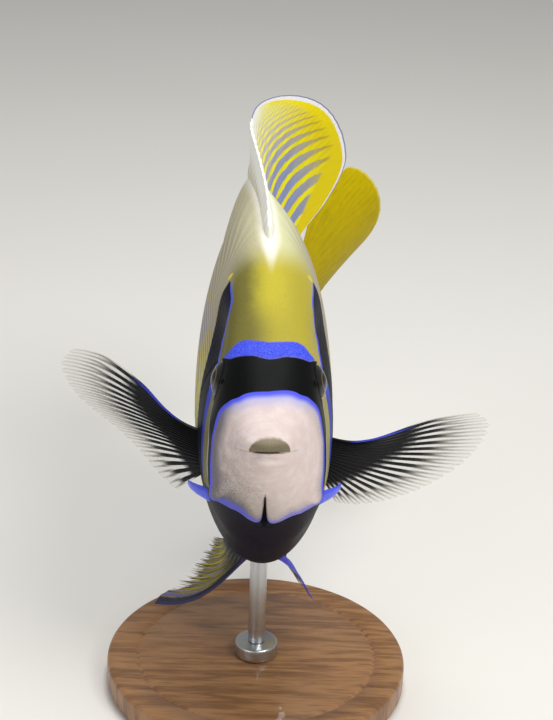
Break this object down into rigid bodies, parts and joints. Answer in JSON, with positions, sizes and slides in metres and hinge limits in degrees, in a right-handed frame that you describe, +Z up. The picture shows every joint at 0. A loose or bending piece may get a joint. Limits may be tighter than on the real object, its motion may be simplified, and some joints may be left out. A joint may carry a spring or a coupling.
{
  "type": "emperor angelfish display model",
  "caption": "Life-size reef fish seen head on, tail curved to its left, fins spread, on a round wooden base with one steel rod.",
  "frame": {"origin": "middle of the model's bounding box, on the floor under the stand", "axes": "+Z up; the snout points along -Y, raised by 15 degrees; +X is the fish's left side, to which the tail curves"},
  "size_m": [0.1922, 0.3166, 0.2518],
  "materials": {
    "head_skin": "satin, painted: pale snout, dark eye band, olive nape",
    "flank_skin": "satin, painted: thin lengthwise stripes",
    "lip_skin": "satin",
    "eye": "glossy, wet look",
    "spine": "smooth, bright blue",
    "yellow_fin": "satin, thin, with ridged rays",
    "dark_fin": "satin, thin, with ridged rays",
    "blue_fin": "satin, thin, with ridged rays",
    "olive_fin": "satin, thin, with ridged rays",
    "stand_wood": "waxed, plain",
    "stand_steel": "brushed"
  },
  "bodies": {
    "root": {"head": "head_skin", "trunk": "flank_skin", "tail_base": "flank_skin", "upper_lip": "lip_skin", "lower_lip": "lip_skin", "eye_left": "eye", "eye_right": "eye", "gill_cover_left": "head_skin", "gill_cover_right": "head_skin", "cheek_spine_left": "spine", "cheek_spine_right": "spine", "dorsal_fin_spiny": "yellow_fin", "dorsal_fin_soft": "yellow_fin", "caudal_fin": "yellow_fin", "anal_fin": "blue_fin", "pectoral_fin_left": "dark_fin", "pectoral_fin_right": "dark_fin", "pelvic_fin_left": "olive_fin", "pelvic_fin_right": "olive_fin", "stand_base": "stand_wood", "stand_collar": "stand_steel", "stand_rod": "stand_steel"}
  },
  "joints": []
}
